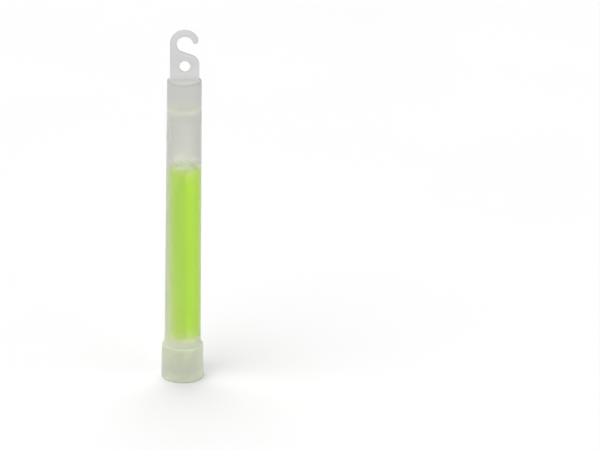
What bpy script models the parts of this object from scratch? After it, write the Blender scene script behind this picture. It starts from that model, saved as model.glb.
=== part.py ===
"""Six-inch chemical light stick: a moulded tube with a hook end, its stopper and end cap, a glass ampoule and two liquids.

Units are metres, +Z is up. The stick stands on its end cap: the origin is the centre of the cap's underside, the
tube's axis runs up +Z, and the flat hook lies in the XZ plane with its mouth towards +X.
"""

import math

import bmesh
import bpy

MM = 0.001

# Driving dimensions: the whole stick
LENGTH = 152.4 * MM
GAP = 0.3 * MM  # clearance between neighbouring pieces

# The tube, moulded in one piece with its hook end. It tapers towards the hook, as a moulding does on its core
TUBE_R_AT_ORIGIN = 7.8 * MM
TUBE_TAPER = 0.00575  # radius lost for each unit of height
TUBE_WALL = 1.35 * MM
TUBE_TOP_Z = 132.0 * MM
TUBE_TOP_ROUND = 0.8 * MM
BORE_END_Z = 120.4 * MM
BORE_END_FILLET = 1.0 * MM
TUBE_LIP_CHAMFER = 0.4 * MM

# The hook: a flat tab on the tube's top face
HOOK_THICKNESS = 2.0 * MM
HOOK_HALF_WIDTH = 6.0 * MM
HOOK_BACK_X = -5.9 * MM  # the straight back edge
HOOK_ROOT_DEPTH = 1.5 * MM  # how far the tab runs down into the tube's solid end
HOOK_CROWN_R = 6.05 * MM
HOOK_CROWN_X = 0.0
HOOK_EYE_R = 3.35 * MM
HOOK_EYE_X = 0.15 * MM
HOOK_EYE_Z = LENGTH - 5.85 * MM
HOOK_TIP_R = 1.25 * MM
HOOK_TIP_ANGLE = math.radians(24)  # where the arm ends, above the crown's centre
HOOK_SHOULDER_R = 4.45 * MM
HOOK_SHOULDER_Z = TUBE_TOP_Z + 5.9 * MM
HOOK_HOLE_R = 2.2 * MM
HOOK_HOLE_X = 0.15 * MM
HOOK_HOLE_Z = TUBE_TOP_Z + 5.45 * MM

# The end cap, a cup over the tube's open end
CAP_R_BASE = 9.1 * MM
CAP_R_RIM = 8.85 * MM
CAP_HEIGHT = 15.8 * MM
CAP_FLOOR = 1.7 * MM
CAP_BASE_ROUND = 0.8 * MM
CAP_SHOULDER_HEIGHT = 2.1 * MM
CAP_RIM_LAND = 0.15 * MM

# The stopper, a hollow plug pushed into the bore, with a flange over the tube's end and two sealing beads
FLANGE_R = 7.4 * MM
FLANGE_THICKNESS = 1.2 * MM
STOPPER_TOP_Z = 19.0 * MM
STOPPER_WALL = 1.2 * MM
STOPPER_CLEARANCE = 0.7 * MM  # the plug's side to the bore, between the beads
STOPPER_TOP_ROUND = 0.6 * MM
BEAD_HEIGHTS = (10.5 * MM, 12.3 * MM)
BEAD_HALF_HEIGHT = 0.45 * MM

# The ampoule
AMPOULE_R = 4.9 * MM
AMPOULE_WALL = 0.5 * MM
AMPOULE_BOTTOM_Z = STOPPER_TOP_Z + 1.0 * MM
AMPOULE_SHOULDER_Z = 114.4 * MM
NECK_Z = 116.0 * MM
NECK_END_Z = 116.6 * MM
NECK_R = 1.6 * MM
NECK_HOLE_R = 0.9 * MM
TIP_BEAD_R = 1.5 * MM
TIP_BEAD_HEIGHT = 1.0 * MM
TIP_STEM_LENGTH = 1.1 * MM

# Liquid levels
DYE_LEVEL_Z = 94.2 * MM
ACTIVATOR_LEVEL_Z = 94.0 * MM

# Facets round each piece
TUBE_STEPS = 48
STOPPER_STEPS = 40
AMPOULE_STEPS = 32
TIP_STEPS = 20
HOLE_STEPS = 28
SMOOTH_ANGLE = math.radians(35)


def clear_scene():
    for obj in list(bpy.data.objects):
        bpy.data.objects.remove(obj, do_unlink=True)


def plastic(name, colour, roughness, transmission=0.0, alpha=1.0):
    """A Principled material with one colour."""
    material = bpy.data.materials.new(name)
    material.use_nodes = True
    shader = material.node_tree.nodes["Principled BSDF"]
    shader.inputs["Base Color"].default_value = (*colour, 1.0)
    shader.inputs["Roughness"].default_value = roughness
    shader.inputs["Metallic"].default_value = 0.0
    shader.inputs["Transmission Weight"].default_value = transmission
    shader.inputs["Alpha"].default_value = alpha
    material.diffuse_color = (*colour, alpha)
    return material


def arc(centre_x, centre_z, radius, start, end, steps, radius_z=None):
    """Points on a circle or an upright ellipse, from angle start to angle end in radians, both ends included."""
    tall = radius if radius_z is None else radius_z
    points = []
    for i in range(steps + 1):
        angle = start + (end - start) * i / steps
        points.append((centre_x + radius * math.cos(angle), centre_z + tall * math.sin(angle)))
    return points


def tube_radius(z):
    return TUBE_R_AT_ORIGIN - TUBE_TAPER * z


def bore_radius(z):
    return tube_radius(z) - TUBE_WALL


def link(name, bm, material, smooth=True):
    """Turns bm into an object in the scene."""
    mesh = bpy.data.meshes.new(name)
    bm.to_mesh(mesh)
    bm.free()
    if smooth:
        mesh.shade_smooth()
        mesh.set_sharp_from_angle(angle=SMOOTH_ANGLE)
    obj = bpy.data.objects.new(name, mesh)
    obj.data.materials.append(material)
    bpy.context.scene.collection.objects.link(obj)
    return obj


def turned(name, profile, steps, material):
    """A solid of revolution about Z. The profile is (radius, z) points that start and end on the axis."""
    bm = bmesh.new()
    verts = [bm.verts.new((radius, 0.0, z)) for radius, z in profile]
    edges = [bm.edges.new(pair) for pair in zip(verts, verts[1:])]
    bmesh.ops.spin(
        bm,
        geom=verts + edges,
        cent=(0.0, 0.0, 0.0),
        axis=(0.0, 0.0, 1.0),
        angle=math.tau,
        steps=steps,
        use_merge=True,
    )
    bmesh.ops.remove_doubles(bm, verts=bm.verts, dist=1e-6)
    bmesh.ops.recalc_face_normals(bm, faces=bm.faces)
    return link(name, bm, material)


def guide(obj):
    """Hides a cutter or a joined-on shape, which is not a piece of its own."""
    obj.hide_render = True
    obj.display_type = "WIRE"
    return obj


def boolean(obj, other, operation):
    modifier = obj.modifiers.new(operation.title(), "BOOLEAN")
    modifier.operation = operation
    modifier.solver = "EXACT"
    modifier.object = other


def shoulder_tangent():
    """The straight run between the hook's eye and its shoulder: its inner tangent's two angles."""
    across = HOOK_HALF_WIDTH - HOOK_SHOULDER_R - HOOK_EYE_X
    down = HOOK_SHOULDER_Z - HOOK_EYE_Z
    lean = math.acos((HOOK_EYE_R + HOOK_SHOULDER_R) / math.hypot(across, down))
    on_eye = math.atan2(down, across) - lean
    return on_eye + math.tau, on_eye + math.pi


def hook_outline():
    """The tab's outline in X and Z, anticlockwise from its lower left corner."""
    crown_z = LENGTH - HOOK_CROWN_R
    back_angle = math.pi - math.acos((HOOK_CROWN_X - HOOK_BACK_X) / HOOK_CROWN_R)
    arm_r = (HOOK_CROWN_R + HOOK_EYE_R) / 2
    tip_x = HOOK_CROWN_X + arm_r * math.cos(HOOK_TIP_ANGLE)
    tip_z = crown_z + arm_r * math.sin(HOOK_TIP_ANGLE)
    eye_leaves, shoulder_starts = shoulder_tangent()
    root_z = TUBE_TOP_Z - HOOK_ROOT_DEPTH

    points = [(HOOK_BACK_X, root_z), (HOOK_HALF_WIDTH, root_z)]
    points += arc(
        HOOK_HALF_WIDTH - HOOK_SHOULDER_R, HOOK_SHOULDER_Z, HOOK_SHOULDER_R, 0.0, shoulder_starts, 9
    )
    points += arc(HOOK_EYE_X, HOOK_EYE_Z, HOOK_EYE_R, eye_leaves, HOOK_TIP_ANGLE + 0.2, 26)
    points += arc(tip_x, tip_z, HOOK_TIP_R, HOOK_TIP_ANGLE - 2.6, HOOK_TIP_ANGLE - 0.45, 9)
    points += arc(HOOK_CROWN_X, crown_z, HOOK_CROWN_R, HOOK_TIP_ANGLE + 0.04, back_angle, 22)
    return points


def hook_plate(material):
    """The flat tab, before its hole, with its root inside the tube's solid end."""
    bm = bmesh.new()
    half = HOOK_THICKNESS / 2
    face = bm.faces.new([bm.verts.new((x, -half, z)) for x, z in hook_outline()])
    extruded = bmesh.ops.extrude_face_region(bm, geom=[face])
    moved = [v for v in extruded["geom"] if isinstance(v, bmesh.types.BMVert)]
    bmesh.ops.translate(bm, verts=moved, vec=(0.0, HOOK_THICKNESS, 0.0))
    bmesh.ops.recalc_face_normals(bm, faces=bm.faces)
    return guide(link("hook_plate", bm, material, smooth=False))


def hole_cutter(material):
    """The round hole through the tab, as a bar along Y."""
    bm = bmesh.new()
    circle = bmesh.ops.create_circle(bm, cap_ends=True, radius=HOOK_HOLE_R, segments=HOLE_STEPS)
    for vert in circle["verts"]:
        x, y = vert.co.x, vert.co.y
        vert.co = (HOOK_HOLE_X + x, -2 * HOOK_THICKNESS, HOOK_HOLE_Z + y)
    extruded = bmesh.ops.extrude_face_region(bm, geom=bm.faces[:])
    moved = [v for v in extruded["geom"] if isinstance(v, bmesh.types.BMVert)]
    bmesh.ops.translate(bm, verts=moved, vec=(0.0, 4 * HOOK_THICKNESS, 0.0))
    bmesh.ops.recalc_face_normals(bm, faces=bm.faces)
    return guide(link("hook_hole_cutter", bm, material, smooth=False))


def light_tube():
    """The tapered tube with its solid hook end, the hook tab and the tab's hole, all one moulding."""
    material = plastic("tube_plastic", (0.66, 0.67, 0.63), 0.35, transmission=0.6)
    top_r = tube_radius(TUBE_TOP_Z)
    end_r = bore_radius(BORE_END_Z)
    lip_z = CAP_FLOOR + GAP + FLANGE_THICKNESS + GAP
    profile = [(0.0, TUBE_TOP_Z)]
    profile += arc(
        top_r - TUBE_TOP_ROUND, TUBE_TOP_Z - TUBE_TOP_ROUND, TUBE_TOP_ROUND, math.pi / 2, 0.0, 4
    )
    profile += [
        (tube_radius(lip_z + TUBE_LIP_CHAMFER), lip_z + TUBE_LIP_CHAMFER),
        (tube_radius(lip_z) - TUBE_LIP_CHAMFER, lip_z),
        (bore_radius(lip_z), lip_z),
    ]
    profile += arc(
        end_r - BORE_END_FILLET, BORE_END_Z - BORE_END_FILLET, BORE_END_FILLET, 0.0, math.pi / 2, 4
    )
    profile += [(0.0, BORE_END_Z)]
    tube = turned("light_tube", profile, TUBE_STEPS, material)
    boolean(tube, hook_plate(material), "UNION")
    boolean(tube, hole_cutter(material), "DIFFERENCE")
    return tube


def end_cap():
    """The wide cup that closes the bottom and is the stick's foot."""
    material = plastic("cap_plastic", (0.60, 0.62, 0.55), 0.4, transmission=0.4)
    shoulder_z = CAP_HEIGHT - CAP_SHOULDER_HEIGHT
    rim_r = tube_radius(CAP_HEIGHT) + GAP
    crest_r = rim_r + CAP_RIM_LAND
    profile = [(0.0, 0.0)]
    profile += arc(CAP_R_BASE - CAP_BASE_ROUND, CAP_BASE_ROUND, CAP_BASE_ROUND, -math.pi / 2, 0.0, 4)
    profile += arc(
        crest_r, shoulder_z, CAP_R_RIM - crest_r, 0.0, math.pi / 2, 5, radius_z=CAP_SHOULDER_HEIGHT
    )
    profile += [
        (rim_r, CAP_HEIGHT),
        (tube_radius(CAP_FLOOR) + GAP, CAP_FLOOR),
        (0.0, CAP_FLOOR),
    ]
    return turned("end_cap", profile, TUBE_STEPS, material)


def stopper_radius(z):
    return bore_radius(z) - STOPPER_CLEARANCE


def inner_stopper():
    """The hollow plug that holds the liquid in, closed towards it and open towards the cap."""
    material = plastic("stopper_plastic", (0.64, 0.66, 0.60), 0.4, transmission=0.4)
    flange_z = CAP_FLOOR + GAP
    flange_top_z = flange_z + FLANGE_THICKNESS
    ceiling_z = STOPPER_TOP_Z - STOPPER_WALL
    inner_r = stopper_radius(STOPPER_TOP_Z) - STOPPER_WALL
    profile = [
        (0.0, ceiling_z),
        (inner_r - STOPPER_TOP_ROUND, ceiling_z),
        (inner_r, ceiling_z - STOPPER_TOP_ROUND),
        (inner_r, flange_z),
        (FLANGE_R, flange_z),
        (FLANGE_R, flange_top_z),
        (stopper_radius(flange_top_z), flange_top_z),
    ]
    for z in BEAD_HEIGHTS:
        bead = STOPPER_CLEARANCE - GAP
        profile += arc(stopper_radius(z), z, bead, -math.pi / 2, math.pi / 2, 6, radius_z=BEAD_HALF_HEIGHT)
    profile += arc(
        stopper_radius(STOPPER_TOP_Z) - STOPPER_TOP_ROUND,
        STOPPER_TOP_Z - STOPPER_TOP_ROUND,
        STOPPER_TOP_ROUND,
        0.0,
        math.pi / 2,
        3,
    )
    profile += [(0.0, STOPPER_TOP_Z)]
    return turned("inner_stopper", profile, STOPPER_STEPS, material)


def ampoule_dome(offset, steps):
    """The round bottom of a surface that lies offset outside the ampoule's, from the axis to the side."""
    radius = AMPOULE_R + offset
    points = arc(0.0, AMPOULE_BOTTOM_Z + AMPOULE_R, radius, -math.pi / 2, 0.0, steps)
    return [(0.0, points[0][1])] + points[1:]


def glass_ampoule():
    """The sealed glass tube that holds the activator, with its neck left open for the tip bead."""
    material = plastic("ampoule_glass", (0.93, 0.95, 0.94), 0.05, transmission=1.0)
    inner_r = AMPOULE_R - AMPOULE_WALL
    shoulder_height = NECK_Z - AMPOULE_SHOULDER_Z
    profile = ampoule_dome(0.0, 6)
    profile += arc(
        NECK_R, AMPOULE_SHOULDER_Z, AMPOULE_R - NECK_R, 0.0, math.pi / 2, 6, radius_z=shoulder_height
    )
    profile += [(NECK_R, NECK_END_Z), (NECK_HOLE_R, NECK_END_Z)]
    profile += arc(
        NECK_HOLE_R,
        AMPOULE_SHOULDER_Z,
        inner_r - NECK_HOLE_R,
        math.pi / 2,
        0.0,
        6,
        radius_z=shoulder_height - AMPOULE_WALL,
    )
    profile += ampoule_dome(-AMPOULE_WALL, 6)[::-1]
    return turned("glass_ampoule", profile, AMPOULE_STEPS, material)


def ampoule_tip():
    """The flame-sealed bead that closes the ampoule's neck."""
    material = plastic("tip_glass", (0.93, 0.95, 0.94), 0.05, transmission=1.0)
    stem_r = NECK_HOLE_R - GAP
    bead_z = NECK_END_Z + GAP
    profile = [(0.0, bead_z - TIP_STEM_LENGTH), (stem_r, bead_z - TIP_STEM_LENGTH), (stem_r, bead_z)]
    profile += arc(0.0, bead_z, TIP_BEAD_R, 0.0, math.pi / 2, 5, radius_z=TIP_BEAD_HEIGHT)[:-1]
    profile += [(0.0, bead_z + TIP_BEAD_HEIGHT)]
    return turned("ampoule_tip", profile, TIP_STEPS, material)


def activator_liquid():
    """The clear activator in the ampoule, up to its level."""
    material = plastic("activator", (0.86, 0.90, 0.86), 0.05, transmission=1.0)
    profile = ampoule_dome(-AMPOULE_WALL - GAP, 6)
    profile += [
        (AMPOULE_R - AMPOULE_WALL - GAP, ACTIVATOR_LEVEL_Z),
        (0.0, ACTIVATOR_LEVEL_Z),
    ]
    return turned("activator_liquid", profile, AMPOULE_STEPS, material)


def dye_liquid():
    """The yellow-green dye solution between the tube and the ampoule, up to its level."""
    material = plastic("dye_solution", (0.42, 0.72, 0.07), 0.1, transmission=0.5)
    floor_z = STOPPER_TOP_Z + GAP
    profile = [
        (0.0, floor_z),
        (bore_radius(floor_z) - GAP, floor_z),
        (bore_radius(DYE_LEVEL_Z) - GAP, DYE_LEVEL_Z),
        (AMPOULE_R + GAP, DYE_LEVEL_Z),
    ]
    profile += ampoule_dome(GAP, 6)[::-1]
    return turned("dye_liquid", profile, STOPPER_STEPS, material)


def ride_on(parent_name, origin, pieces):
    """Parents pieces to an empty at their body's origin, without moving them."""
    empty = bpy.data.objects.new(parent_name, None)
    empty.location = origin
    bpy.context.scene.collection.objects.link(empty)
    bpy.context.view_layer.update()
    for piece in pieces:
        piece.parent = empty
        piece.matrix_parent_inverse = empty.matrix_world.inverted()


def main():
    clear_scene()
    ride_on("stick_body", (0.0, 0.0, 0.0), [light_tube(), end_cap(), inner_stopper(), dye_liquid()])
    ride_on(
        "ampoule_body",
        (0.0, 0.0, AMPOULE_BOTTOM_Z),
        [glass_ampoule(), ampoule_tip(), activator_liquid()],
    )
    bpy.context.view_layer.update()


main()
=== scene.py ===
"""Looks for the chemical light stick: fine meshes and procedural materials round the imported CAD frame."""

import math

import bmesh
import bpy
from mathutils import Euler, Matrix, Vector, noise


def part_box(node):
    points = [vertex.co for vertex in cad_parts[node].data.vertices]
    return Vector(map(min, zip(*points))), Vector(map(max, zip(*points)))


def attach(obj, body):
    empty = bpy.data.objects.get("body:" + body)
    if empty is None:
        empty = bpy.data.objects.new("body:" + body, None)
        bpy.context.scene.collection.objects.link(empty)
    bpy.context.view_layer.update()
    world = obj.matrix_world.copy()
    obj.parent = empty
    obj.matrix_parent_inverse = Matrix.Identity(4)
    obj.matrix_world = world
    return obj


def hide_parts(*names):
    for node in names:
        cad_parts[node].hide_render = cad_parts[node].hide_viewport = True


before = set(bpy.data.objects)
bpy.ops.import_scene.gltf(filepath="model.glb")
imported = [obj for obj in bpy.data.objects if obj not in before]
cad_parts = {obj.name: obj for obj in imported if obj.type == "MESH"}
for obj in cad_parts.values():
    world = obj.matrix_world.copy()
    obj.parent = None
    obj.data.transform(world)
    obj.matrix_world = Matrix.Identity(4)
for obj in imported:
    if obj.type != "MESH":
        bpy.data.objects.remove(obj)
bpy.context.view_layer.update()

MM = 0.001

# ---------------------------------------------------------------- sizes

# Read from the frame
TUBE_LIP_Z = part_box("light_tube")[0][2]
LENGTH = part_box("light_tube")[1][2]
CAP_R_BASE, CAP_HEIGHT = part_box("end_cap")[1][0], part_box("end_cap")[1][2]
FLANGE_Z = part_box("inner_stopper")[0][2]
FLANGE_R, STOPPER_TOP_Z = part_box("inner_stopper")[1][0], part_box("inner_stopper")[1][2]
AMPOULE_BOTTOM_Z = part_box("glass_ampoule")[0][2]
AMPOULE_R, NECK_END_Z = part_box("glass_ampoule")[1][0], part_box("glass_ampoule")[1][2]
TIP_R, TIP_TOP_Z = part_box("ampoule_tip")[1][0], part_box("ampoule_tip")[1][2]
DYE_LEVEL_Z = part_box("dye_liquid")[1][2]
ACTIVATOR_LEVEL_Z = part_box("activator_liquid")[1][2]

# The tube, as in the CAD
TUBE_R_AT_ORIGIN = 7.8 * MM
TUBE_TAPER = 0.00575  # radius lost for each unit of height
TUBE_WALL = 1.35 * MM
TUBE_TOP_Z = LENGTH - 20.4 * MM
TUBE_TOP_ROUND = 0.8 * MM
TUBE_LIP_CHAMFER = 0.4 * MM
BORE_END_Z = LENGTH - 32.0 * MM
BORE_END_FILLET = 1.0 * MM

# Faint voids near the front of the solid end, drawn as pale spots in the tube's colour that are painted
# glints: x, height, half width and half height of each
VOID_GLINTS = (
    (3.7 * MM, TUBE_TOP_Z - 2.0 * MM, 2.6 * MM, 0.6 * MM),
    (3.0 * MM, BORE_END_Z + 3.5 * MM, 0.6 * MM, 1.0 * MM),
)

# The hook tab, as in the CAD, and the small roundings that only the looks have
HOOK_HALF_WIDTH = 6.0 * MM
HOOK_BACK_X = -5.9 * MM
HOOK_THICKNESS = 2.0 * MM
HOOK_ROOT_DEPTH = 1.5 * MM
HOOK_CROWN_R = 6.05 * MM
HOOK_CROWN_X = 0.0
HOOK_EYE_R = 3.35 * MM
HOOK_EYE_X = 0.15 * MM
HOOK_EYE_Z = LENGTH - 5.85 * MM
HOOK_TIP_R = 1.25 * MM
HOOK_TIP_ANGLE = math.radians(24)  # where the arm ends, above the crown's centre
HOOK_SHOULDER_R = 4.45 * MM
HOOK_SHOULDER_Z = TUBE_TOP_Z + 5.9 * MM
HOOK_HOLE_R = 2.2 * MM
HOOK_HOLE_RISE = 2.4 * MM  # half its height, which is a little more than its width
HOOK_HOLE_X = 0.15 * MM
HOOK_HOLE_Z = TUBE_TOP_Z + 5.45 * MM
HOOK_EDGE_ROUND = 0.25 * MM
HOOK_RIM_TURN = 1.2  # radians: only the edges between the tab's faces and its sides turn more
HOOK_ROOT_FILLET = 0.3 * MM

# The cap, as in the CAD
CAP_R_RIM = 8.85 * MM
CAP_FLOOR = 1.7 * MM
CAP_BASE_ROUND = 0.8 * MM
CAP_SHOULDER_HEIGHT = 2.1 * MM
CAP_RIM_LAND = 0.15 * MM
CAP_RECESS_R = 7.7 * MM  # the underside is a shallow dish inside this radius
CAP_RECESS_DEPTH = 0.12 * MM
PRESSED_LINES = (11.8 * MM, 13.6 * MM)  # two faint pale lines round the cap

# The stopper, as in the CAD
FLANGE_THICKNESS = 1.2 * MM
STOPPER_WALL = 1.2 * MM
STOPPER_CLEARANCE = 0.12 * MM  # the plug's side to the bore, closer than the CAD's 0.7 mm, which solids need
STOPPER_TOP_ROUND = 0.15 * MM
STOPPER_LIP = 1.5 * MM  # the plug's last stretch, spread against the bore
BEAD_HEIGHTS = (10.5 * MM, 12.3 * MM)
BEAD_HALF_HEIGHT = 0.45 * MM

# The ampoule, as in the CAD
AMPOULE_WALL = 0.5 * MM
AMPOULE_SHOULDER_Z = 114.4 * MM
NECK_Z = 116.0 * MM
NECK_R = 1.6 * MM

# The dye column's -X side is slimmer: fully up to the first height, least from the second
SLIM_FULL_Z = 30 * MM
SLIM_LEAST_Z = 80 * MM

# Fits between the fine meshes
CONTACT = 0.02 * MM  # how far touching pieces overlap, so that no air shows between them
SLIP = 0.08 * MM  # room round the ampoule in the dye

STEPS = 128  # facets round a turned piece
MERGE = 1e-7  # metres within which a turned piece's points are one
SMOOTH_ANGLE = math.radians(40)


# ---------------------------------------------------------------- geometry helpers

def tube_radius(z):
    return TUBE_R_AT_ORIGIN - TUBE_TAPER * z


def bore_radius(z):
    return tube_radius(z) - TUBE_WALL


def clamped(share):
    return min(max(share, 0.0), 1.0)


def arc(centre_x, centre_z, radius, start, end, steps, radius_z=None):
    """Points on a circle or an upright ellipse, from angle start to angle end, both ends included."""
    tall = radius if radius_z is None else radius_z
    points = []
    for i in range(steps + 1):
        angle = start + (end - start) * i / steps
        points.append((centre_x + radius * math.cos(angle), centre_z + tall * math.sin(angle)))
    return points


def run(start, end, pieces):
    """Points from start to end in equal pieces, both ends included."""
    return [
        tuple(a + (b - a) * i / pieces for a, b in zip(start, end))
        for i in range(pieces + 1)
    ]


def link(name, bm, material, smooth=True):
    mesh = bpy.data.meshes.new(name)
    bm.to_mesh(mesh)
    bm.free()
    if smooth:
        mesh.shade_smooth()
        mesh.set_sharp_from_angle(angle=SMOOTH_ANGLE)
    obj = bpy.data.objects.new(name, mesh)
    mesh.materials.append(material)
    bpy.context.scene.collection.objects.link(obj)
    return obj


def turned_bmesh(profile):
    """A solid of revolution about Z, from (radius, z) points that start and end on the axis."""
    bm = bmesh.new()
    verts = [bm.verts.new((radius, 0.0, z)) for radius, z in profile]
    edges = [bm.edges.new(pair) for pair in zip(verts, verts[1:])]
    bmesh.ops.spin(
        bm, geom=verts + edges, cent=(0, 0, 0), axis=(0, 0, 1), angle=math.tau, steps=STEPS, use_merge=True
    )
    bmesh.ops.remove_doubles(bm, verts=bm.verts, dist=MERGE)
    bmesh.ops.recalc_face_normals(bm, faces=bm.faces)
    return bm


def turned(name, profile, material):
    return link(name, turned_bmesh(profile), material)


def extrude(bm, faces, shift):
    """Turns flat faces into a closed solid that reaches as far as shift."""
    extruded = bmesh.ops.extrude_face_region(bm, geom=faces)
    moved = [v for v in extruded["geom"] if isinstance(v, bmesh.types.BMVert)]
    bmesh.ops.translate(bm, verts=moved, vec=shift)
    bmesh.ops.recalc_face_normals(bm, faces=bm.faces)


def unite(obj, others):
    """Joins other solids into obj's mesh and removes them."""
    for other in others:
        union = obj.modifiers.new("Union", "BOOLEAN")
        union.operation = "UNION"
        union.solver = "EXACT"
        union.object = other
    bpy.context.view_layer.update()
    shaped = bpy.data.meshes.new_from_object(obj.evaluated_get(bpy.context.evaluated_depsgraph_get()))
    obj.modifiers.clear()
    obj.data = shaped
    for other in others:
        bpy.data.objects.remove(other)
    shaped.shade_smooth()
    shaped.set_sharp_from_angle(angle=SMOOTH_ANGLE)


def ride(piece, body, slot, *nodes):
    """Says what a piece moves with and hides the CAD nodes it stands for; slot is not used."""
    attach(piece, body)
    if nodes:
        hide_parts(*nodes)


# ---------------------------------------------------------------- material helpers

class Tree:
    """A material's node tree, with short ways to add and join nodes."""

    def __init__(self, name):
        self.material = bpy.data.materials.new(name)
        self.material.use_nodes = True
        self.nodes = self.material.node_tree.nodes
        self.links = self.material.node_tree.links
        self.shader = self.nodes["Principled BSDF"]

    def set(self, **values):
        """Sets plain numbers and colours on the Principled shader, with _ for a space in a socket's name."""
        for key, value in values.items():
            self.shader.inputs[key.replace("_", " ")].default_value = value

    def node(self, kind, **settings):
        node = self.nodes.new(kind)
        for key, value in settings.items():
            setattr(node, key, value)
        return node

    def feed(self, source, node, socket):
        self.links.new(source, node.inputs[socket])

    def shade(self, source, socket):
        self.feed(source, self.shader, socket)

    def coordinates(self, scale=(1.0, 1.0, 1.0)):
        """Object coordinates in metres, stretched by scale."""
        coords = self.node("ShaderNodeTexCoord")
        mapping = self.node("ShaderNodeMapping")
        mapping.inputs["Scale"].default_value = scale
        self.feed(coords.outputs["Object"], mapping, "Vector")
        return mapping.outputs["Vector"]

    def axis(self, letter):
        """One object coordinate, in metres."""
        coords = self.node("ShaderNodeTexCoord")
        split = self.node("ShaderNodeSeparateXYZ")
        self.feed(coords.outputs["Object"], split, "Vector")
        return split.outputs[letter]

    def height(self):
        return self.axis("Z")

    def radius(self):
        """The distance from the stick's axis, in metres."""
        x, y = self.axis("X"), self.axis("Y")
        return self.math("SQRT", self.math("ADD", self.math("MULTIPLY", x, x), self.math("MULTIPLY", y, y)))

    def spot(self, centre, radii):
        """1 at the centre of an ellipsoid, falling to 0 at its surface."""
        coords = self.node("ShaderNodeTexCoord")
        mapping = self.node("ShaderNodeMapping")
        mapping.inputs["Location"].default_value = [-at / size for at, size in zip(centre, radii)]
        mapping.inputs["Scale"].default_value = [1 / size for size in radii]
        length = self.node("ShaderNodeVectorMath", operation="LENGTH")
        self.feed(coords.outputs["Object"], mapping, "Vector")
        self.links.new(mapping.outputs["Vector"], length.inputs[0])
        return self.span(length.outputs["Value"], 1.0, 0.0)

    def math(self, operation, first, second=None):
        node = self.node("ShaderNodeMath", operation=operation)
        self.links.new(first, node.inputs[0])
        if second is not None:
            self.links.new(second, node.inputs[1])
        return node.outputs["Value"]

    def noise(self, vector, scale, detail=3.0, roughness=0.5):
        texture = self.node("ShaderNodeTexNoise")
        texture.inputs["Scale"].default_value = scale
        texture.inputs["Detail"].default_value = detail
        texture.inputs["Roughness"].default_value = roughness
        self.feed(vector, texture, "Vector")
        return texture.outputs["Fac"]

    def ramp(self, factor, stops):
        """A colour ramp from (position, colour) stops."""
        ramp = self.node("ShaderNodeValToRGB")
        elements = ramp.color_ramp.elements
        while len(elements) < len(stops):
            elements.new(0.5)
        for element, (position, colour) in zip(elements, stops):
            element.position = position
            element.color = (*colour, 1.0)
        self.feed(factor, ramp, "Fac")
        return ramp.outputs["Color"]

    def height_ramp(self, stops):
        """A colour ramp up the stick, from (height in metres, colour) stops."""
        share = self.span(self.height(), 0.0, 1.0, 0.0, LENGTH)
        return self.ramp(share, [(z / LENGTH, colour) for z, colour in stops])

    def blend(self, factor, colour, plain):
        """A patterned colour mixed towards a plain one by factor."""
        mix = self.node("ShaderNodeMix", data_type="RGBA")
        self.feed(factor, mix, "Factor")
        self.links.new(colour, mix.inputs[6])
        mix.inputs[7].default_value = (*plain, 1.0)
        return mix.outputs[2]

    def multiply(self, colour, other):
        mix = self.node("ShaderNodeMix", data_type="RGBA", blend_type="MULTIPLY")
        mix.inputs["Factor"].default_value = 1.0
        self.links.new(colour, mix.inputs[6])
        self.links.new(other, mix.inputs[7])
        return mix.outputs[2]

    def span(self, factor, low, high, from_low=0.0, from_high=1.0):
        """A number remapped from one range to another, and clamped."""
        remap = self.node("ShaderNodeMapRange")
        remap.inputs["From Min"].default_value = from_low
        remap.inputs["From Max"].default_value = from_high
        remap.inputs["To Min"].default_value = low
        remap.inputs["To Max"].default_value = high
        self.feed(factor, remap, "Value")
        return remap.outputs["Result"]

    def band(self, rises, full, falls, gone):
        """1 between two heights, fading to 0 below and above them."""
        low = self.span(self.height(), 0.0, 1.0, rises, full)
        return self.math("MULTIPLY", low, self.span(self.height(), 1.0, 0.0, falls, gone))

    def bump(self, height, distance, strength):
        bump = self.node("ShaderNodeBump")
        bump.inputs["Distance"].default_value = distance
        bump.inputs["Strength"].default_value = strength
        self.feed(height, bump, "Height")
        self.shade(bump.outputs["Normal"], "Normal")


def grey(value):
    return (value, value, value)


def satin_skin(tree, roughness):
    """The fine uneven skin of moulded polyethylene, in roughness and bump."""
    skin = tree.noise(tree.coordinates((1.0, 1.0, 0.6)), 2600.0, 4.0, 0.6)
    tree.shade(tree.span(skin, roughness - 0.03, roughness + 0.03, 0.3, 0.7), "Roughness")
    tree.bump(skin, 0.02 * MM, 0.35)


def flow_clouds(tree, low):
    """Faint clouds drawn out along the moulding's flow, from low to 1."""
    flow = tree.noise(tree.coordinates((260.0, 260.0, 60.0)), 1.0, 4.0)
    return tree.ramp(flow, [(0.3, grey(low)), (0.7, grey(1.0))])


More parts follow.
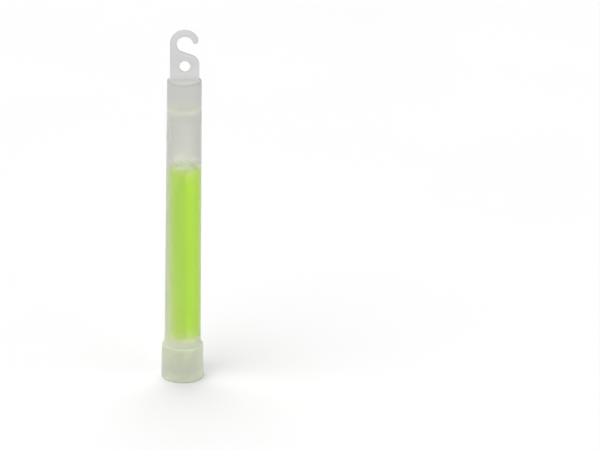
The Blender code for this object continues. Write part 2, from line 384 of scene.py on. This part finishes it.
def tube_polyethylene():
    """Natural polyethylene: clear enough over the bore to show the dye, milky where it is solid."""
    tree = Tree("tube_polyethylene")
    # Painted light and shade up the tube. The yellow-green from the cap to just over the dye is the dye's
    # glow painted into the wall. The dip a few millimetres above the bore's end and the dark band on the
    # top's rounded rim are painted shade. The tab is painted lighter at its foot, against the shade there.
    tone_and_painted_light = tree.height_ramp([
        (CAP_HEIGHT, (0.87, 0.905, 0.75)),
        (STOPPER_TOP_Z, (0.92, 0.95, 0.80)),
        (STOPPER_TOP_Z + 6 * MM, (0.925, 0.965, 0.70)),
        (DYE_LEVEL_Z, (0.93, 0.965, 0.72)),
        (DYE_LEVEL_Z + 2 * MM, (0.965, 0.965, 0.925)),
        (BORE_END_Z - 1.0 * MM, (0.965, 0.97, 0.93)),
        (BORE_END_Z + 0.5 * MM, (0.76, 0.77, 0.735)),
        (BORE_END_Z + 4.0 * MM, (0.72, 0.725, 0.695)),
        (TUBE_TOP_Z - 1.3 * MM, (0.745, 0.75, 0.715)),
        (TUBE_TOP_Z - 0.4 * MM, (0.59, 0.595, 0.565)),
        (TUBE_TOP_Z + 0.4 * MM, (0.895, 0.895, 0.885)),
        (TUBE_TOP_Z + 6.0 * MM, (0.77, 0.77, 0.77)),
    ])
    skin = tree.multiply(tone_and_painted_light, flow_clouds(tree, 0.98))
    # Pale spots over the voids: painted glints.
    for x, z, half_width, half_height in VOID_GLINTS:
        spot = tree.spot((x, -tube_radius(z), z), (half_width, 2 * MM, half_height))
        skin = tree.blend(spot, skin, (0.80, 0.80, 0.78))
    top = TUBE_TOP_Z
    # Painted shade: a darker band on the top's rounded rim.
    edge = tree.band(top - 0.45 * MM, top - 0.2 * MM, top - 0.12 * MM, top - 0.02 * MM)
    skin = tree.blend(edge, skin, (0.58, 0.585, 0.56))
    # The top face painted darker, against the light that falls on it from above: painted shade.
    face = tree.band(top - 0.12 * MM, top - 0.02 * MM, top + 0.02 * MM, top + 0.12 * MM)
    skin = tree.blend(face, skin, (0.66, 0.665, 0.64))
    # The tab's rounded edges painted darker, against the light that falls on them from above: painted shade.
    rim = tree.span(tree.math("ABSOLUTE", tree.axis("Y")), 0.45, 0.0, 0.75 * MM, 0.99 * MM)
    on_hook = tree.span(tree.height(), 0.0, 1.0, top + 0.5 * MM, top + 1.0 * MM)
    skin = tree.blend(tree.math("MULTIPLY", rim, on_hook), skin, grey(0.35))
    tree.shade(skin, "Base Color")
    satin_skin(tree, 0.37)
    clear = tree.height_ramp([
        (CAP_HEIGHT + 0.5 * MM, grey(0.35)),
        (STOPPER_TOP_Z + 0.5 * MM, grey(0.985)),
        (DYE_LEVEL_Z + 1.0 * MM, grey(0.985)),
        (DYE_LEVEL_Z + 6.0 * MM, grey(0.87)),
        (BORE_END_Z - 1.5 * MM, grey(0.87)),
        (BORE_END_Z - 0.2 * MM, grey(0.55)),
        (TUBE_TOP_Z - 1.0 * MM, grey(0.5)),
        (TUBE_TOP_Z + 0.2 * MM, grey(0.1)),
    ])
    tree.shade(clear, "Transmission Weight")
    tree.set(
        IOR=1.5,
        Coat_Weight=0.2,
        Coat_Roughness=0.1,
        Coat_IOR=1.5,
        Sheen_Weight=0.12,
        Sheen_Roughness=0.35,
        Sheen_Tint=(0.95, 1.0, 0.85, 1.0),
    )
    return tree.material


def cap_polyethylene():
    """Thicker polyethylene, with painted light and shade in its colour: green from the dye's light above it,
    a paler bottom edge, a darker band just above that, and a glow.
    """
    tree = Tree("cap_polyethylene")
    # Painted light and shade up the cap: paler at the bottom edge, darker just above it, and greener towards
    # the top from the dye's light.
    tone_and_painted_light = tree.height_ramp([
        (0.6 * MM, (0.97, 0.98, 0.92)),
        (2.2 * MM, (0.67, 0.67, 0.645)),
        (0.6 * CAP_HEIGHT, (0.81, 0.82, 0.735)),
        (CAP_HEIGHT - 1.2 * MM, (0.86, 0.89, 0.67)),
        (CAP_HEIGHT - 0.1 * MM, (0.79, 0.83, 0.56)),
    ])
    lines = tree.height_ramp([
        stop
        for z in PRESSED_LINES
        for stop in ((z - 0.3 * MM, grey(0.975)), (z, grey(1.0)), (z + 0.3 * MM, grey(0.975)))
    ])
    tone_and_painted_light = tree.multiply(tone_and_painted_light, lines)
    tree.shade(tree.multiply(tone_and_painted_light, flow_clouds(tree, 0.97)), "Base Color")
    satin_skin(tree, 0.4)
    clear = tree.height_ramp([(CAP_HEIGHT - 1.6 * MM, grey(0.45)), (CAP_HEIGHT - 0.5 * MM, grey(0.12))])
    tree.shade(clear, "Transmission Weight")
    tree.set(
        IOR=1.5,
        Subsurface_Weight=1.0,
        Subsurface_Radius=(1.0, 1.0, 0.8),
        Subsurface_Scale=7.0 * MM,
        Coat_Weight=0.2,
        Coat_Roughness=0.15,
        Coat_IOR=1.5,
        # A painted glow: the cap is no lamp.
        Emission_Color=(0.80, 0.90, 0.50, 1.0),
        Emission_Strength=0.1,
    )
    return tree.material


def stopper_polyethylene():
    tree = Tree("stopper_polyethylene")
    # Partly the plastic's own tone. The yellow-green towards the top, and the glow set below, are painted
    # light from the dye above.
    tone_and_painted_light = tree.height_ramp([
        (FLANGE_Z, (0.88, 0.91, 0.80)),
        (STOPPER_TOP_Z, (0.91, 0.93, 0.78)),
    ])
    tree.shade(tree.multiply(tone_and_painted_light, flow_clouds(tree, 0.96)), "Base Color")
    satin_skin(tree, 0.45)
    tree.set(
        IOR=1.5,
        Subsurface_Weight=0.8,
        Subsurface_Radius=(1.0, 1.0, 0.7),
        Subsurface_Scale=2.0 * MM,
        # A painted glow from the dye's light: the stopper is no lamp.
        Emission_Color=(0.80, 0.85, 0.58, 1.0),
        Emission_Strength=0.2,
    )
    return tree.material


def ampoule_glass():
    """Thin drawn glass with faint draw lines along it."""
    tree = Tree("ampoule_glass")
    draw = tree.noise(tree.coordinates((700.0, 700.0, 9.0)), 1.0, 2.0)
    tree.shade(tree.ramp(draw, [(0.3, (0.975, 0.985, 0.97)), (0.7, (0.995, 1.0, 0.99))]), "Base Color")
    tree.shade(tree.span(draw, 0.0, 0.04), "Roughness")
    tree.bump(draw, 0.02 * MM, 0.3)
    tree.set(IOR=1.12, Transmission_Weight=1.0)
    return tree.material


def dye_solution():
    """Fluorescent yellow-green dye, paler towards its two ends. Its -X side is painted paler, a painted haze
    of light falling on that side, and its +X side is painted darker, a painted shade.
    """
    tree = Tree("dye_solution")
    depth = tree.height_ramp([
        (STOPPER_TOP_Z + 0.8 * MM, (0.86, 0.91, 0.58)),
        (STOPPER_TOP_Z + 3 * MM, (0.72, 0.90, 0.22)),
        (STOPPER_TOP_Z + 9 * MM, (0.59, 0.88, 0.04)),
        (DYE_LEVEL_Z - 7 * MM, (0.59, 0.88, 0.03)),
        (DYE_LEVEL_Z - 1.5 * MM, (0.73, 0.90, 0.21)),
        (DYE_LEVEL_Z, (0.87, 0.90, 0.58)),
    ])
    cloud = tree.noise(tree.coordinates((220.0, 220.0, 50.0)), 1.0, 3.0)
    swirl = tree.ramp(cloud, [(0.3, grey(0.96)), (0.7, grey(1.0))])
    # The -X side painted paler, most on the lower half: a painted haze of light falling on that side.
    painted_side_haze = tree.span(tree.axis("X"), 0.85, 0.0, -5.0 * MM, 0.3 * MM)
    low_half = tree.span(tree.height(), 1.0, 0.3, 30 * MM, 75 * MM)
    painted_haze = tree.math("MULTIPLY", painted_side_haze, low_half)
    colour = tree.blend(painted_haze, depth, (0.80, 0.92, 0.45))
    # The +X side painted darker: painted shade.
    painted_far_shade = tree.span(tree.axis("X"), 0.0, 0.9, 3.6 * MM, 6.0 * MM)
    colour = tree.blend(painted_far_shade, colour, (0.54, 0.66, 0.15))
    tree.shade(tree.multiply(colour, swirl), "Base Color")
    tree.shade(tree.span(cloud, 0.12, 0.2), "Roughness")
    tree.set(
        IOR=1.44,
        Specular_IOR_Level=0.0,
        # A glow partly from the dye's fluorescence and partly painted light, standing in for the light that
        # reaches the dye through the wall.
        Emission_Color=(0.46, 0.84, 0.03, 1.0),
        Emission_Strength=0.265,
    )
    return tree.material


def activator():
    """The clear activator seen through its glass."""
    tree = Tree("activator")
    cloud = tree.noise(tree.coordinates((200.0, 200.0, 60.0)), 1.0, 2.0)
    tree.shade(tree.ramp(cloud, [(0.3, (0.82, 0.86, 0.66)), (0.7, (0.86, 0.89, 0.72))]), "Base Color")
    tree.shade(tree.span(cloud, 0.02, 0.08), "Roughness")
    tree.set(
        IOR=1.42,
        Transmission_Weight=0.3,
        Emission_Color=(0.76, 0.81, 0.60, 1.0),
        # A painted glow: the activator is no lamp.
        Emission_Strength=0.33,
    )
    return tree.material


def dye_film():
    """Dye dried on the bore's closed end: nearly clear in the middle, pale yellow-green in the corner."""
    tree = Tree("dye_film")
    patch = tree.noise(tree.coordinates((900.0, 900.0, 900.0)), 1.0, 4.0)
    corner = tree.ramp(patch, [(0.3, (0.85, 0.90, 0.56)), (0.7, (0.90, 0.92, 0.72))])
    middle = tree.span(tree.radius(), 1.0, 0.0, 3.6 * MM, 4.8 * MM)
    tree.shade(tree.blend(middle, corner, (0.90, 0.91, 0.74)), "Base Color")
    tree.shade(tree.span(patch, 0.35, 0.5), "Roughness")
    tree.set(
        IOR=1.44,
        Specular_IOR_Level=0.0,
        # A glow partly from the dried dye's fluorescence and partly painted light.
        Emission_Color=(0.90, 0.92, 0.68, 1.0),
        Emission_Strength=0.26,
    )
    return tree.material


def pale_floor():
    tree = Tree("pale_floor")
    mottle = tree.noise(tree.coordinates((6.0, 6.0, 6.0)), 1.0, 3.0)
    tree.shade(tree.ramp(mottle, [(0.3, grey(0.80)), (0.7, grey(0.81))]), "Base Color")
    tree.shade(tree.span(mottle, 0.6, 0.7), "Roughness")
    tree.set(Specular_IOR_Level=0.1)
    return tree.material


# ---------------------------------------------------------------- the tube and its hook

def shoulder_tangent():
    """The straight run between the hook's eye and its shoulder: its inner tangent's two angles."""
    across = HOOK_HALF_WIDTH - HOOK_SHOULDER_R - HOOK_EYE_X
    down = HOOK_SHOULDER_Z - HOOK_EYE_Z
    lean = math.acos((HOOK_EYE_R + HOOK_SHOULDER_R) / math.hypot(across, down))
    on_eye = math.atan2(down, across) - lean
    return on_eye + math.tau, on_eye + math.pi


def hook_outline():
    """The tab's outline in X and Z, anticlockwise from its lower left corner."""
    crown_z = LENGTH - HOOK_CROWN_R
    back_angle = math.pi - math.acos((HOOK_CROWN_X - HOOK_BACK_X) / HOOK_CROWN_R)
    arm_r = (HOOK_CROWN_R + HOOK_EYE_R) / 2
    tip_x = HOOK_CROWN_X + arm_r * math.cos(HOOK_TIP_ANGLE)
    tip_z = crown_z + arm_r * math.sin(HOOK_TIP_ANGLE)
    eye_leaves, shoulder_starts = shoulder_tangent()
    # Short straight links join the arm's arcs, at these angles round each arc's own centre
    eye_ends = HOOK_TIP_ANGLE + 0.2
    tip_starts, tip_ends = HOOK_TIP_ANGLE - 2.6, HOOK_TIP_ANGLE - 0.45
    crown_starts = HOOK_TIP_ANGLE + 0.04
    root_z = TUBE_TOP_Z - HOOK_ROOT_DEPTH
    points = [(HOOK_BACK_X, root_z), (HOOK_HALF_WIDTH, root_z)]
    points += arc(
        HOOK_HALF_WIDTH - HOOK_SHOULDER_R, HOOK_SHOULDER_Z, HOOK_SHOULDER_R, 0.0, shoulder_starts, 16
    )
    points += arc(HOOK_EYE_X, HOOK_EYE_Z, HOOK_EYE_R, eye_leaves, eye_ends, 48)
    points += arc(tip_x, tip_z, HOOK_TIP_R, tip_starts, tip_ends, 18)
    points += arc(HOOK_CROWN_X, crown_z, HOOK_CROWN_R, crown_starts, back_angle, 44)
    return points


def hook_plate(material):
    """The tab with its round hole and with its edges rounded, as a closed solid."""
    bm = bmesh.new()
    half = HOOK_THICKNESS / 2
    rings = []
    hole = arc(HOOK_HOLE_X, HOOK_HOLE_Z, HOOK_HOLE_R, 0.0, math.tau, 48, radius_z=HOOK_HOLE_RISE)[:-1]
    for outline in (hook_outline(), hole):
        verts = [bm.verts.new((x, -half, z)) for x, z in outline]
        rings += [bm.edges.new((a, b)) for a, b in zip(verts, verts[1:] + verts[:1])]
    bmesh.ops.triangle_fill(bm, edges=rings, use_beauty=True)
    extrude(bm, bm.faces[:], (0.0, HOOK_THICKNESS, 0.0))
    bm.normal_update()
    rims = [e for e in bm.edges if len(e.link_faces) == 2 and e.calc_face_angle() > HOOK_RIM_TURN]
    bmesh.ops.bevel(bm, geom=rims, offset=HOOK_EDGE_ROUND, segments=3, profile=0.5, affect="EDGES")
    return link("hook_plate", bm, material)


def hook_root(material):
    """A small fillet along the tab's foot, on both faces."""
    half = HOOK_THICKNESS / 2
    wide = half + HOOK_ROOT_FILLET
    corner_z = TUBE_TOP_Z + HOOK_ROOT_FILLET
    outline = [(-wide, TUBE_TOP_Z - HOOK_ROOT_FILLET), (wide, TUBE_TOP_Z - HOOK_ROOT_FILLET)]
    outline += arc(wide, corner_z, HOOK_ROOT_FILLET, -math.pi / 2, -math.pi, 5)
    outline += arc(-wide, corner_z, HOOK_ROOT_FILLET, 0.0, -math.pi / 2, 5)
    half_length = -HOOK_BACK_X - HOOK_EDGE_ROUND
    bm = bmesh.new()
    foot = bm.faces.new([bm.verts.new((-half_length, y, z)) for y, z in outline])
    extrude(bm, [foot], (2 * half_length, 0.0, 0.0))
    return link("hook_root", bm, material)


def tube_profile():
    top_r = tube_radius(TUBE_TOP_Z)
    end_r = bore_radius(BORE_END_Z)
    lip_round = 0.2 * MM
    fillet_z = BORE_END_Z - BORE_END_FILLET
    profile = [(0.0, TUBE_TOP_Z)]
    profile += arc(
        top_r - TUBE_TOP_ROUND, TUBE_TOP_Z - TUBE_TOP_ROUND, TUBE_TOP_ROUND, math.pi / 2, 0.0, 8
    )
    side_top = (tube_radius(TUBE_TOP_Z - TUBE_TOP_ROUND), TUBE_TOP_Z - TUBE_TOP_ROUND)
    side_low = (tube_radius(TUBE_LIP_Z + TUBE_LIP_CHAMFER), TUBE_LIP_Z + TUBE_LIP_CHAMFER)
    profile += run(side_top, side_low, 24)[1:]
    profile += [
        (tube_radius(TUBE_LIP_Z) - TUBE_LIP_CHAMFER, TUBE_LIP_Z),
        (bore_radius(TUBE_LIP_Z) + lip_round, TUBE_LIP_Z),
    ]
    profile += run(
        (bore_radius(TUBE_LIP_Z), TUBE_LIP_Z + lip_round), (bore_radius(fillet_z), fillet_z), 24
    )
    profile += arc(end_r - BORE_END_FILLET, fillet_z, BORE_END_FILLET, 0.0, math.pi / 2, 8)[1:]
    profile += [(0.0, BORE_END_Z)]
    return profile


def make_tube():
    material = tube_polyethylene()
    tube = turned("tube_moulding", tube_profile(), material)
    unite(tube, [hook_root(material), hook_plate(material)])
    ride(tube, "stick", "tube_plastic", "light_tube")


# ---------------------------------------------------------------- cap and stopper

def make_cap():
    """The cup over the tube's lower end, fused to it."""
    shoulder_z = CAP_HEIGHT - CAP_SHOULDER_HEIGHT
    rim_r = tube_radius(CAP_HEIGHT) - CONTACT
    crest_r = rim_r + CAP_RIM_LAND
    floor_fillet = 0.5 * MM
    floor_r = tube_radius(CAP_FLOOR) - CONTACT
    profile = [
        (0.0, CAP_RECESS_DEPTH),
        (CAP_RECESS_R - 0.1 * MM, CAP_RECESS_DEPTH),
        (CAP_RECESS_R + 0.1 * MM, 0.0),
    ]
    profile += arc(CAP_R_BASE - CAP_BASE_ROUND, CAP_BASE_ROUND, CAP_BASE_ROUND, -math.pi / 2, 0.0, 8)
    profile += run((CAP_R_BASE, CAP_BASE_ROUND), (CAP_R_RIM, shoulder_z), 8)[1:-1]
    profile += arc(
        crest_r, shoulder_z, CAP_R_RIM - crest_r, 0.0, math.pi / 2, 12, radius_z=CAP_SHOULDER_HEIGHT
    )
    profile += [(rim_r, CAP_HEIGHT - 0.1 * MM)]
    profile += [(floor_r, CAP_FLOOR + floor_fillet), (floor_r - floor_fillet, CAP_FLOOR), (0.0, CAP_FLOOR)]
    cap = turned("cap_moulding", profile, cap_polyethylene())
    ride(cap, "stick", "cap_plastic", "end_cap")


def make_stopper():
    """The plug in the bore's open end: a flange, two beads and a spread lip, hollow from below."""
    flange_top_z = FLANGE_Z + FLANGE_THICKNESS
    ceiling_z = STOPPER_TOP_Z - STOPPER_WALL

    def side(z):
        return bore_radius(z) - STOPPER_CLEARANCE

    inner_r = side(STOPPER_TOP_Z) - STOPPER_WALL
    ceiling_round = 0.6 * MM
    edge = 0.15 * MM
    lip_rise = 0.3 * MM
    profile = [(0.0, ceiling_z)]
    profile += arc(
        inner_r - ceiling_round, ceiling_z - ceiling_round, ceiling_round, math.pi / 2, 0.0, 6
    )
    profile += [
        (inner_r, FLANGE_Z + edge),
        (inner_r + edge, FLANGE_Z),
        (FLANGE_R - edge, FLANGE_Z),
        (FLANGE_R, FLANGE_Z + edge),
        (FLANGE_R, flange_top_z - edge),
        (FLANGE_R - edge, flange_top_z),
        (side(flange_top_z), flange_top_z),
    ]
    for z in BEAD_HEIGHTS:
        proud = STOPPER_CLEARANCE - CONTACT
        profile += arc(side(z), z, proud, -math.pi / 2, math.pi / 2, 10, radius_z=BEAD_HALF_HEIGHT)
    lip_z = STOPPER_TOP_Z - STOPPER_LIP
    profile += [(side(lip_z), lip_z), (bore_radius(lip_z + lip_rise) + CONTACT, lip_z + lip_rise)]
    profile += arc(
        bore_radius(STOPPER_TOP_Z) + CONTACT - STOPPER_TOP_ROUND,
        STOPPER_TOP_Z - STOPPER_TOP_ROUND,
        STOPPER_TOP_ROUND,
        0.0,
        math.pi / 2,
        6,
    )
    profile += [(0.0, STOPPER_TOP_Z)]
    stopper = turned("stopper_moulding", profile, stopper_polyethylene())
    ride(stopper, "stick", "stopper_plastic", "inner_stopper")


# ---------------------------------------------------------------- ampoule and liquids

def ampoule_dome(offset):
    """The round bottom of a surface that lies offset outside the ampoule's, from the axis to the side."""
    radius = AMPOULE_R + offset
    points = arc(0.0, AMPOULE_BOTTOM_Z + AMPOULE_R, radius, -math.pi / 2, 0.0, 12)
    return [(0.0, points[0][1])] + points[1:]


def make_ampoule():
    """The sealed glass in one piece: its outer skin and, turned inside out, its inner one."""
    inner_r = AMPOULE_R - AMPOULE_WALL
    shoulder_height = NECK_Z - AMPOULE_SHOULDER_Z
    tip_height = TIP_TOP_Z - NECK_END_Z
    inner_neck_r = 0.5 * MM
    outer = ampoule_dome(0.0)
    outer += arc(
        NECK_R, AMPOULE_SHOULDER_Z, AMPOULE_R - NECK_R, 0.0, math.pi / 2, 12, radius_z=shoulder_height
    )
    outer += arc(0.0, NECK_END_Z, TIP_R, 0.0, math.pi / 2, 8, radius_z=tip_height)[:-1]
    outer += [(0.0, TIP_TOP_Z)]
    inner = ampoule_dome(-AMPOULE_WALL)
    inner += arc(
        inner_neck_r,
        AMPOULE_SHOULDER_Z,
        inner_r - inner_neck_r,
        0.0,
        math.pi / 2,
        12,
        radius_z=shoulder_height - AMPOULE_WALL,
    )
    inner += [(0.0, NECK_Z)]
    bm = turned_bmesh(outer)
    cavity = turned_bmesh(inner)
    bmesh.ops.reverse_faces(cavity, faces=cavity.faces)
    spare = bpy.data.meshes.new("cavity")
    cavity.to_mesh(spare)
    cavity.free()
    bm.from_mesh(spare)
    bpy.data.meshes.remove(spare)
    ampoule = link("sealed_ampoule", bm, ampoule_glass())
    ride(ampoule, "ampoule", "ampoule_glass", "glass_ampoule", "ampoule_tip")


def make_activator():
    wall_r = AMPOULE_R - AMPOULE_WALL - CONTACT
    creep = 0.35 * MM
    profile = ampoule_dome(-AMPOULE_WALL - CONTACT)
    profile += [(wall_r, ACTIVATOR_LEVEL_Z)]
    profile += arc(wall_r - 2 * creep, ACTIVATOR_LEVEL_Z, 2 * creep, 0.0, -math.pi / 2, 8, radius_z=creep)[1:]
    profile += [(0.0, ACTIVATOR_LEVEL_Z - creep)]
    liquid = turned("activator_column", profile, activator())
    ride(liquid, "ampoule", "activator", "activator_liquid")


def make_dye():
    """The green column that shows: against the bore on its +X side, and slimmer on the other."""
    bottom_z = STOPPER_TOP_Z + CONTACT
    creep = 0.45 * MM
    round_r = 0.15 * MM
    inner_r = AMPOULE_R + SLIP
    thin_r = inner_r + 0.1 * MM
    top_r = bore_radius(DYE_LEVEL_Z) + CONTACT
    bottom_r = bore_radius(bottom_z) + CONTACT
    surface = arc(
        (inner_r + top_r) / 2, DYE_LEVEL_Z + creep, (top_r - inner_r) / 2, 0.0, -math.pi, 16, radius_z=creep
    )
    profile = [(0.0, bottom_z)]
    profile += arc(bottom_r - round_r, bottom_z + round_r, round_r, -math.pi / 2, 0.0, 6)
    profile += run(profile[-1], surface[0], 16)[1:-1]
    profile += surface
    profile += ampoule_dome(SLIP)[::-1]
    bm = turned_bmesh(profile)
    turn = math.radians(70)  # slimming starts this far round from +X, and is full as far again
    for vert in bm.verts:
        radius = math.hypot(vert.co.x, vert.co.y)
        if radius < thin_r:
            continue
        away = abs(math.atan2(vert.co.y, vert.co.x))
        share = clamped((away - turn) / turn)
        up = clamped((vert.co.z - SLIM_FULL_Z) / (SLIM_LEAST_Z - SLIM_FULL_Z))
        pull = share * share * (3 - 2 * share) * (1.0 - 0.7 * up)
        full_r = bore_radius(vert.co.z) + CONTACT
        slim = 1 - pull * (full_r - thin_r) / full_r
        vert.co.x *= slim
        vert.co.y *= slim
    liquid = link("dye_column", bm, dye_solution())
    ride(liquid, "stick", "dye_solution", "dye_liquid")


def make_dye_film():
    """Dye dried on the bore's closed end, against the plastic, with an uneven lower edge."""
    thick = 0.08 * MM
    foot = 0.4 * MM
    patches = 450.0  # how fine the lower edge's waves are, for each metre
    end_r = bore_radius(BORE_END_Z)
    fillet_z = BORE_END_Z - BORE_END_FILLET

    def lining(inset):
        low_z = fillet_z - foot
        points = [(bore_radius(low_z) - inset, low_z)]
        points += arc(end_r - BORE_END_FILLET, fillet_z, BORE_END_FILLET - inset, 0.0, math.pi / 2, 8)
        return points + [(0.0, BORE_END_Z - inset)]

    bm = turned_bmesh(lining(-CONTACT)[::-1] + lining(thick))
    for vert in bm.verts:
        if vert.co.z < fillet_z - foot / 2:
            patch = noise.noise(Vector((vert.co.x, vert.co.y, 0.0)) * patches)
            vert.co.z += foot * (0.4 + 0.5 * patch)
    film = link("dye_film", bm, dye_film())
    ride(film, "stick", "dye_solution")


# ---------------------------------------------------------------- stage, light and camera

def make_floor():
    bm = bmesh.new()
    bmesh.ops.create_grid(bm, x_segments=8, y_segments=8, size=6.0)
    floor = link("floor", bm, pale_floor(), smooth=False)


def sun(name, towards, irradiance, spread):
    """A soft far light. towards points from the stick to the light, spread is its width in degrees."""
    data = bpy.data.lights.new(name, "SUN")
    data.energy = irradiance
    data.angle = math.radians(spread)
    lamp = bpy.data.objects.new(name, data)
    lamp.rotation_euler = Vector(towards).to_track_quat("Z", "Y").to_euler()
    bpy.context.scene.collection.objects.link(lamp)


def make_light():
    world = bpy.data.worlds.new("studio")
    world.use_nodes = True
    background = world.node_tree.nodes["Background"]
    background.inputs["Color"].default_value = (1.0, 1.0, 1.0, 1.0)
    background.inputs["Strength"].default_value = 0.23
    bpy.context.scene.world = world
    sun("key", (-0.64, -0.54, 1.3), 1.74, 47)
    sun("top", (-0.06, 0.49, 1.0), 1.64, 46)
    sun("fill", (0.95, -0.5, 0.3), 1.02, 60)


CAMERA_DISTANCE = 0.735
CAMERA_HEIGHT = 0.350
CAMERA_YAW = math.radians(3.789)
CAMERA_PITCH = math.radians(20.87)
CAMERA_ROLL = math.radians(1.746)
FOCAL_PIXELS = 1884.0
FRAME_WIDTH = 600.0


def make_camera():
    data = bpy.data.cameras.new("camera")
    data.sensor_width = 36.0
    data.lens = data.sensor_width * FOCAL_PIXELS / FRAME_WIDTH
    data.clip_start = 0.01
    camera = bpy.data.objects.new("camera", data)
    camera.location = (0.0, -CAMERA_DISTANCE, CAMERA_HEIGHT)
    aim = Euler((math.pi / 2 - CAMERA_PITCH, 0.0, -CAMERA_YAW), "XYZ").to_matrix()
    roll = Euler((0.0, 0.0, CAMERA_ROLL), "XYZ").to_matrix()
    camera.rotation_euler = (aim @ roll).to_euler()
    bpy.context.scene.collection.objects.link(camera)
    bpy.context.scene.camera = camera


make_tube()
make_cap()
make_stopper()
make_ampoule()
make_activator()
make_dye()
make_dye_film()
make_floor()
make_light()
make_camera()
bpy.context.scene.view_settings.view_transform = "Standard"
